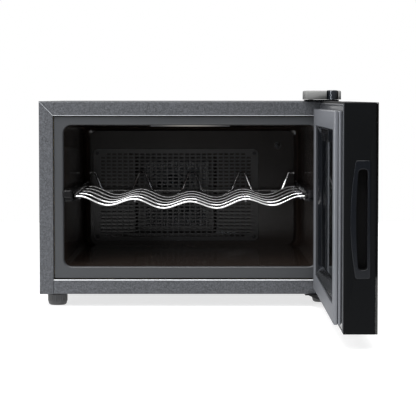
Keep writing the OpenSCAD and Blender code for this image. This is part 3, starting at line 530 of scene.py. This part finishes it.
# ---- Duct and grille -------------------------------------------------------------------
# A black moulded panel covers the cold sink at the back of the cavity. The air comes through
# a screwed-on grille with square holes, and a probe reads the temperature beside it.
duct_gloss = finish("duct_gloss", (0.0120, 0.0088, 0.0072), 0.2, blotch=0.06, specular=0.35)
dress(duct_gloss, "duct_panel")
grille_plastic = finish("grille_plastic", (0.012, 0.0105, 0.0100), 0.3, blotch=0.1)
dress(grille_plastic, "fan_grille", "temperature_probe")
fan_plastic = finish("fan_plastic", (0.022, 0.022, 0.024), 0.38, blotch=0.12)
dress(fan_plastic, "inner_fan_frame", "inner_fan_rotor", "outer_fan_frame", "outer_fan_rotor")
screw_steel = finish("screw_steel", (0.46, 0.46, 0.47), 0.28, metallic=1.0, blotch=0.15, scratch=0.15)
screw_black = finish("screw_black", (0.02, 0.02, 0.021), 0.35, metallic=0.6, blotch=0.15)
dress(screw_black, "grille_screws")
dress(screw_steel, "rear_cover_screws", "top_hinge_screws", "bottom_hinge_screws",
      "top_hinge_pin", "bottom_hinge_pin", "foot_stud_fl", "foot_stud_fr", "foot_stud_rl", "foot_stud_rr")

# ---- Cooling engine --------------------------------------------------------------------
# Two extruded aluminium sinks clamp the ceramic module through an aluminium block. The power
# board beside them is green laminate, and brass inserts in the base take the feet.
sink_metal = finish("sink_metal", (0.62, 0.63, 0.65), 0.36, metallic=1.0, blotch=0.1, scratch=0.2)
dress(sink_metal, "hot_sink", "cold_block")
# The cold sink's aluminium is given a dark grey colour, as painted shade at the back of the cavity.
sink_dull_shaded = finish("sink_dull_shaded", (0.20, 0.20, 0.20), 0.5, metallic=1.0, blotch=0.15, scratch=0.2)
dress(sink_dull_shaded, "cold_sink")
ceramic_white = finish("ceramic_white", (0.80, 0.80, 0.77), 0.55, blotch=0.05)
dress(ceramic_white, "thermoelectric_module")
board_green = finish("board_green", (0.02, 0.12, 0.05), 0.3, blotch=0.2, coat=0.4)
dress(board_green, "power_board", "led_board", "display_board")
part_black = finish("part_black", (0.03, 0.03, 0.033), 0.35, blotch=0.25)
dress(part_black, "power_components")
brass_metal = finish("brass_metal", (0.60, 0.44, 0.17), 0.3, metallic=1.0, blotch=0.15)
dress(brass_metal, "foot_inserts")

# ---- Rear cover ------------------------------------------------------------------------
# A black moulded tray with vents keeps fingers off the hot sink, its fan and the power board.
# Screws hold it to the back panel, and the mains inlet clips into its lower corner.
cover_plastic = finish("cover_plastic", (0.020, 0.020, 0.022), 0.5, grain=(1200.0, 0.0001), blotch=0.12)
dress(cover_plastic, "rear_cover", "mains_inlet")

# ---- Cavity lamp -----------------------------------------------------------------------
# A frosted lens is clipped into the ceiling near the door, with five white chips above it. It
# glows dimly, most of all in its middle.
LAMP_GLOW = 0.22
lamp_lens = finish("lamp_lens", (0.10, 0.105, 0.12), 0.4, blotch=0.04)
lamp_shader = lamp_lens.node_tree.nodes["Principled BSDF"]
lamp_shader.inputs["Emission Strength"].default_value = LAMP_GLOW
lamp_tree = lamp_lens.node_tree
lamp_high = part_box("led_lens")[1]
lamp_off = put(lamp_tree, "ShaderNodeMath", operation="ABSOLUTE")
connect(lamp_tree, place_along(lamp_tree, "X"), lamp_off.inputs[0])
lamp_light = put(lamp_tree, "ShaderNodeMix", data_type="RGBA")
lamp_light.inputs["A"].default_value = (1.0, 0.93, 0.80, 1)
lamp_light.inputs["B"].default_value = (0.05, 0.0465, 0.04, 1)
lamp_fade = share_between(lamp_tree, lamp_off.outputs[0], 0.0, lamp_high.x)
connect(lamp_tree, lamp_fade, lamp_light.inputs["Factor"])
connect(lamp_tree, lamp_light.outputs["Result"], lamp_shader.inputs["Emission Color"])
dress(lamp_lens, "led_lens")

# ---- Shelf -----------------------------------------------------------------------------
# Five bent wires with four bottle places, four straight wires welded under their crests and a
# guard wire at the back, all bright chrome. The ends slide in moulded rails.
shelf_low, shelf_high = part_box("shelf_wave_wires")
WAVE_COUNT = 5
WIRE_R = 0.0015
WIRE_END = 0.177
CREST_END = 0.168
PLACE_PITCH = 0.084
CREST_Z = 0.167
SAG = 0.0082
DIP = 0.0115
CREST_SOFT = 0.01
WAVE_STEP = 0.0035


def crest_height(x):
    """Height of the line through the crests."""
    rise = math.hypot(x, CREST_SOFT) - CREST_SOFT
    return CREST_Z - SAG + SAG * rise / (math.hypot(CREST_END, CREST_SOFT) - CREST_SOFT)


def wave_height(x):
    """Height of a bent wire."""
    if abs(x) >= CREST_END:
        return crest_height(CREST_END)
    return crest_height(x) - DIP * (1 - math.cos(2 * math.pi * x / PLACE_PITCH)) / 2


def wire(name, routes, radius, mat, body, node_name):
    """Round wires along routes of points, as one piece that stands for a CAD node."""
    curve = bpy.data.curves.new(name, "CURVE")
    curve.dimensions = "3D"
    curve.bevel_depth = radius
    curve.bevel_resolution = 4
    curve.use_fill_caps = True
    for route in routes:
        line = curve.splines.new("POLY")
        line.points.add(len(route) - 1)
        for point, where in zip(line.points, route):
            point.co = (*where, 1.0)
        line.use_smooth = True
    curve.materials.append(mat)
    piece = bpy.data.objects.new(name, curve)
    scene.collection.objects.link(piece)
    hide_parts(node_name)
    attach(piece, body)
    return piece


chrome = finish("chrome_wire", (0.80, 0.80, 0.81), 0.09, grain=(400.0, 0.00001), metallic=1.0, blotch=0.05,
                scratch=0.06)
wave_xs = [i * WAVE_STEP - CREST_END for i in range(round(2 * CREST_END / WAVE_STEP) + 1)]
wave_ys = [shelf_low.y + WIRE_R + (shelf_high.y - shelf_low.y - 2 * WIRE_R) * i / (WAVE_COUNT - 1)
           for i in range(WAVE_COUNT)]
waves = [[(-WIRE_END, y, CREST_Z)] + [(x, y, wave_height(x)) for x in wave_xs] + [(WIRE_END, y, CREST_Z)]
         for y in wave_ys]
wire("shelf_waves", waves, WIRE_R, chrome, "shelf", "shelf_wave_wires")
long_low, long_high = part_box("shelf_long_wires")
longs = []
for k in (-2, -1, 1, 2):
    x = k * PLACE_PITCH
    z = crest_height(x) - 2 * WIRE_R
    longs.append([(x, long_low.y, z), (x, (long_low.y + long_high.y) / 2, z), (x, long_high.y, z)])
wire("shelf_stringers", longs, WIRE_R, chrome, "shelf", "shelf_long_wires")
dress(chrome, "shelf_rear_guard")
rail_plastic = finish("rail_plastic", (0.007, 0.007, 0.0075), 0.14, blotch=0.08, specular=0.3)

# An edge that turns by more degrees than this gets a round
CREASE = 32


def crisp(node, mat, body, width, segments=2):
    """A CAD piece with the small rounded edges that its mould or press gives it."""
    bm = bmesh.new()
    bm.from_mesh(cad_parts[node].data)
    bmesh.ops.remove_doubles(bm, verts=bm.verts, dist=0.000002)
    bmesh.ops.dissolve_limit(bm, angle_limit=math.radians(0.5), verts=bm.verts, edges=bm.edges)
    mesh = smoothed(node + "_soft", bm, CREASE)
    mesh.materials.clear()
    piece = linked(node + "_soft", mesh, mat)
    edge = piece.modifiers.new("soft_edge", "BEVEL")
    edge.width = width
    edge.segments = segments
    edge.limit_method = "ANGLE"
    edge.angle_limit = math.radians(CREASE)
    edge.use_clamp_overlap = False
    edge.harden_normals = True
    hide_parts(node)
    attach(piece, body)
    return piece


for side in ("left", "right"):
    crisp("shelf_rail_" + side, rail_plastic, "cabinet", 0.0008, 3)

# ---- Hinges ----------------------------------------------------------------------------
# Steel brackets carry the door's pins. The upper one hides under a grey moulded cap with a
# black barrel round the pin, and the lower one is black.
hinge_black = finish("hinge_black", (0.005, 0.005, 0.0055), 0.45, grain=(1100.0, 0.00008), blotch=0.1,
                     specular=0.1)
dress(hinge_black, "top_hinge_bracket", "bottom_hinge_bracket")

cap_grey = finish("cap_grey", (0.17, 0.17, 0.166), 0.5, grain=(1300.0, 0.00006), blotch=0.06)
CAP_EDGE = 0.0022
CAP_WALL = 0.0015
CAP_DROP = 0.0009
BARREL_DROP = 0.0001
BARREL_GAP = 0.0007
BARREL_DOME = 0.0014
cap_low, cap_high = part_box("top_hinge_cover")
barrel_low, barrel_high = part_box("top_hinge_barrel")
barrel_heart = (barrel_low + barrel_high) / 2
barrel_r = (barrel_high.x - barrel_low.x) / 2

# The cap is a thin shell with a round notch in front, where the barrel stands. Its top lies
# a little lower than the barrel's.
notch_r = barrel_r + BARREL_GAP
notch = []
for angle in (math.radians(a) for a in range(180, -1, -15)):
    notch.append((barrel_heart.x + notch_r * math.cos(angle), barrel_heart.y + notch_r * math.sin(angle)))
plan = [(cap_high.x, cap_low.y), (cap_high.x, cap_high.y), (cap_low.x, cap_high.y), (cap_low.x, cap_low.y),
        (notch[0][0], cap_low.y)] + notch + [(notch[-1][0], cap_low.y)]
cap_bm = bmesh.new()
footprint = cap_bm.faces.new([cap_bm.verts.new((x, y, cap_low.z)) for x, y in plan])
raised = bmesh.ops.extrude_face_region(cap_bm, geom=[footprint])["geom"]
bmesh.ops.translate(cap_bm, vec=(0, 0, cap_high.z - CAP_DROP - cap_low.z),
                    verts=[g for g in raised if isinstance(g, bmesh.types.BMVert)])
bmesh.ops.recalc_face_normals(cap_bm, faces=cap_bm.faces)
bottom = [f for f in cap_bm.faces if f.normal.z < -0.9]
bmesh.ops.delete(cap_bm, geom=bottom, context="FACES_ONLY")


def on_cap_side(vert):
    """True on the cap's left and right sides."""
    return min(abs(vert.co.x - cap_low.x), abs(vert.co.x - cap_high.x)) < 0.0001


def on_cap_front(vert):
    """True on the cap's front face."""
    return abs(vert.co.y - cap_low.y) < 0.0001


lid = next(f for f in cap_bm.faces if f.normal.z > 0.9)
soft_edges = [e for e in lid.edges if any(v.co.y > cap_low.y + 2.2 * notch_r for v in e.verts)
              or all(on_cap_front(v) for v in e.verts)]
soft_edges += [e for e in cap_bm.edges if abs(e.verts[0].co.z - e.verts[1].co.z) > 0.005
               and on_cap_side(e.verts[0])]
bmesh.ops.bevel(cap_bm, geom=soft_edges, offset=CAP_EDGE, offset_type="OFFSET", affect="EDGES",
                segments=4, profile=0.5, material=-1)
cap = linked("hinge_cap", smoothed("hinge_cap", cap_bm, 40), cap_grey)
walled(cap, CAP_WALL)
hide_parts("top_hinge_cover")
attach(cap, "cabinet")

# The barrel is turned, with a soft shoulder at its top
barrel_gloss = finish("barrel_gloss", (0.010, 0.012, 0.016), 0.1, blotch=0.1, specular=0.8, coat=0.6)
barrel_top = cap_high.z - BARREL_DROP
profile = [(0.0, barrel_low.z), (barrel_r, barrel_low.z)]
for angle in (math.radians(a) for a in range(0, 91, 15)):
    profile.append((barrel_r - BARREL_DOME * (1 - math.cos(angle)),
                    barrel_top - BARREL_DOME * (1 - math.sin(angle))))
profile.append((0.0, barrel_top))
barrel_bm = bmesh.new()
points = [barrel_bm.verts.new((barrel_heart.x + x, barrel_heart.y, z)) for x, z in profile]
lines = [barrel_bm.edges.new(pair) for pair in zip(points, points[1:])]
bmesh.ops.spin(barrel_bm, geom=points + lines, cent=barrel_heart, axis=(0, 0, 1), angle=math.tau,
               steps=48, use_merge=True)
bmesh.ops.remove_doubles(barrel_bm, verts=barrel_bm.verts, dist=0.000002)
bmesh.ops.recalc_face_normals(barrel_bm, faces=barrel_bm.faces)
barrel = linked("hinge_barrel", smoothed("hinge_barrel", barrel_bm, 40), barrel_gloss)
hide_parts("top_hinge_barrel")
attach(barrel, "cabinet")

# ---- Door ------------------------------------------------------------------------------
# A hollow black frame carries a full-face outer glass with a black printed border, an inner
# pane in a bevelled trim, and a wide grey vinyl gasket with mitred corners.
door_black = finish("door_black", (0.0036, 0.0039, 0.0043), 0.4, grain=(1500.0, 0.00006), blotch=0.12,
                    specular=0.04)
crisp("door_frame", door_black, "door", 0.0005)
bezel_black = finish("bezel_black", (0.0045, 0.0053, 0.0070), 0.16, grain=(1500.0, 0.00002), blotch=0.1,
                     specular=0.25)
crisp("handle_bezel", bezel_black, "door", 0.0010, 3)
pocket_black = finish("pocket_black", (0.003, 0.003, 0.0032), 0.6, blotch=0.1, specular=0.1)
dress(pocket_black, "handle_cup")
trim_black = finish("trim_black", (0.007, 0.0078, 0.0095), 0.12, grain=(1500.0, 0.00003), blotch=0.08,
                    specular=0.2)
crisp("door_trim", trim_black, "door", 0.0006, 3)
crisp("display_housing", trim_black, "door", 0.0012, 3)


def swept(low, high, profile, mat, name):
    """A profile swept round a mitred rectangle across X. A profile point is an inset and an X."""
    bm = bmesh.new()
    heart = (low + high) / 2
    first = profile[0]
    verts = []
    for y, z in ((low.y, low.z), (high.y, low.z), (high.y, high.z), (low.y, high.z)):
        inset_y = y + math.copysign(first[0], heart.y - y)
        verts.append(bm.verts.new((first[1], inset_y, z + math.copysign(first[0], heart.z - z))))
    edges = [bm.edges.new((verts[i], verts[(i + 1) % 4])) for i in range(4)]
    for was, now in zip(profile, profile[1:] + profile[:1]):
        made = bmesh.ops.extrude_edge_only(bm, edges=edges)["geom"]
        for v in (g for g in made if isinstance(g, bmesh.types.BMVert)):
            v.co.x = now[1]
            v.co.y += math.copysign(1, heart.y - v.co.y) * (now[0] - was[0])
            v.co.z += math.copysign(1, heart.z - v.co.z) * (now[0] - was[0])
        edges = [g for g in made if isinstance(g, bmesh.types.BMEdge)]
    bmesh.ops.remove_doubles(bm, verts=bm.verts, dist=0.000002)
    bmesh.ops.recalc_face_normals(bm, faces=bm.faces)
    return linked(name, smoothed(name, bm, 50), mat)


# The gasket has a neck in the door's groove, a bellows, and the flat magnet pocket on top. Its
# flat face is chalky from wiping, and the folds behind it keep their shine.
seal_low, seal_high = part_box("door_gasket")
vinyl_grey = finish("vinyl_grey", (0.110, 0.115, 0.127), 0.5, grain=(700.0, 0.00008), blotch=0.08,
                    scratch=0.12, specular=0.08)
seal_tree = vinyl_grey.node_tree
seal_shader = seal_tree.nodes["Principled BSDF"]
seal_fold = share_between(seal_tree, place_along(seal_tree, "X"), seal_low.x + 0.0001, seal_low.x + 0.0004,
                          "LINEAR")
connect(seal_tree, seal_fold, seal_shader.inputs["Coat Weight"])
seal_shader.inputs["Coat Roughness"].default_value = 0.16
SEAL_H = 11.7
SEAL_PROFILE = [(2.5, 0.0), (2.5, 1.2), (0.7, 2.2), (0.0, 3.0), (0.0, 4.9), (0.6, 5.7), (1.7, 6.1),
                (0.6, 6.6), (0.0, 7.3), (0.0, 10.4), (0.4, 11.3), (1.3, SEAL_H), (22.7, SEAL_H),
                (23.6, 11.3), (24.0, 10.4), (24.0, 9.2), (23.2, 8.4), (21.6, 7.9), (21.6, 6.4),
                (23.0, 5.9), (23.4, 5.0), (23.4, 3.0), (22.6, 2.2), (21.5, 1.2), (21.5, 0.0)]
seal_scale = (seal_high.x - seal_low.x) / SEAL_H
seal_points = [(inset / 1000, seal_high.x - height * seal_scale) for inset, height in SEAL_PROFILE]
gasket = swept(seal_low, seal_high, seal_points, vinyl_grey, "gasket_profile")
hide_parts("door_gasket")
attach(gasket, "door")

# A thin bead and a step run round the frame's inner face, outside the gasket
frame_low, frame_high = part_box("door_frame")
glass_low, glass_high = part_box("door_glass_outer")
rim_black = finish("rim_black", (0.045, 0.047, 0.052), 0.22, blotch=0.1)
RIM_PROFILE = [(2.2, -0.1), (2.2, 0.9), (2.6, 1.3), (3.6, 1.3), (4.0, 0.9), (4.0, 0.3), (5.4, 0.3),
               (6.2, 0.8), (12.5, 0.8), (12.5, -0.1)]
rim_points = [(inset / 1000, seal_high.x - height / 1000) for inset, height in RIM_PROFILE]
rim_low = Vector((seal_high.x, frame_low.y, glass_low.z))
rim_high = Vector((seal_high.x, frame_high.y, glass_high.z))
rim = swept(rim_low, rim_high, rim_points, rim_black, "door_rim")
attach(rim, "door")
nylon_white = finish("nylon_white", (0.75, 0.75, 0.71), 0.4, blotch=0.05)
dress(nylon_white, "door_bush_top", "door_bush_bottom")


def pane(name, tint, rough, index):
    """Toughened glass with a faint film of dust that takes some of its shine."""
    mat = finish(name, tint, rough, grain=(300.0, 0.0000003), blotch=0.03, scratch=0.01)
    mat.node_tree.nodes["Principled BSDF"].inputs["Transmission Weight"].default_value = 1.0
    mat.node_tree.nodes["Principled BSDF"].inputs["IOR"].default_value = index
    return mat


dress(pane("outer_glass", (0.05, 0.055, 0.06), 0.02, 1.5), "door_glass_outer")
dress(pane("inner_glass", (0.20, 0.25, 0.28), 0.02, 1.06), "door_glass_inner")

# The border is printed on the inside of the outer glass and leaves the window clear
PRINT_EDGE, PRINT_EDGE_R = 0.0005, 0.002
WINDOW_INSET, WINDOW_R = 0.051, 0.006
INK_T = 0.00004
INK_BEHIND = 0.00003


def door_outline(bm, inset, x, radius, steps=7):
    """A rectangle with round corners inside the door's outline, across X, as a loop of edges."""
    y0, y1 = glass_low.y + inset, glass_high.y - inset
    z0, z1 = glass_low.z + inset, glass_high.z - inset
    edges = outline(bm, (y0, z0, y1, z1), 0.0, radius, steps)
    verts = {v for e in edges for v in e.verts}
    for v in verts:
        v.co = Vector((x, v.co.x, v.co.z))
    return edges


print_x = glass_low.x - INK_BEHIND
print_bm = bmesh.new()
border_edges = door_outline(print_bm, PRINT_EDGE, print_x, PRINT_EDGE_R)
border_edges += door_outline(print_bm, WINDOW_INSET, print_x, WINDOW_R)
bmesh.ops.bridge_loops(print_bm, edges=border_edges)
ceramic_ink = finish("ceramic_ink", (0.006, 0.006, 0.007), 0.5, blotch=0.1, specular=0.2)
border = linked("glass_print", mesh_from("glass_print", print_bm), ceramic_ink)
walled(border, INK_T, 0.0)
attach(border, "door")

# ---- Feet ------------------------------------------------------------------------------
# Four knurled grey plastic pads screw into the base on steel studs. The front one on the hinge
# side stands further back, clear of the lower hinge.
foot_grey = finish("foot_grey", (0.060, 0.060, 0.062), 0.5, grain=(1000.0, 0.0001), blotch=0.12)
dress(foot_grey, "foot_pad_fl", "foot_pad_fr", "foot_pad_rl", "foot_pad_rr")
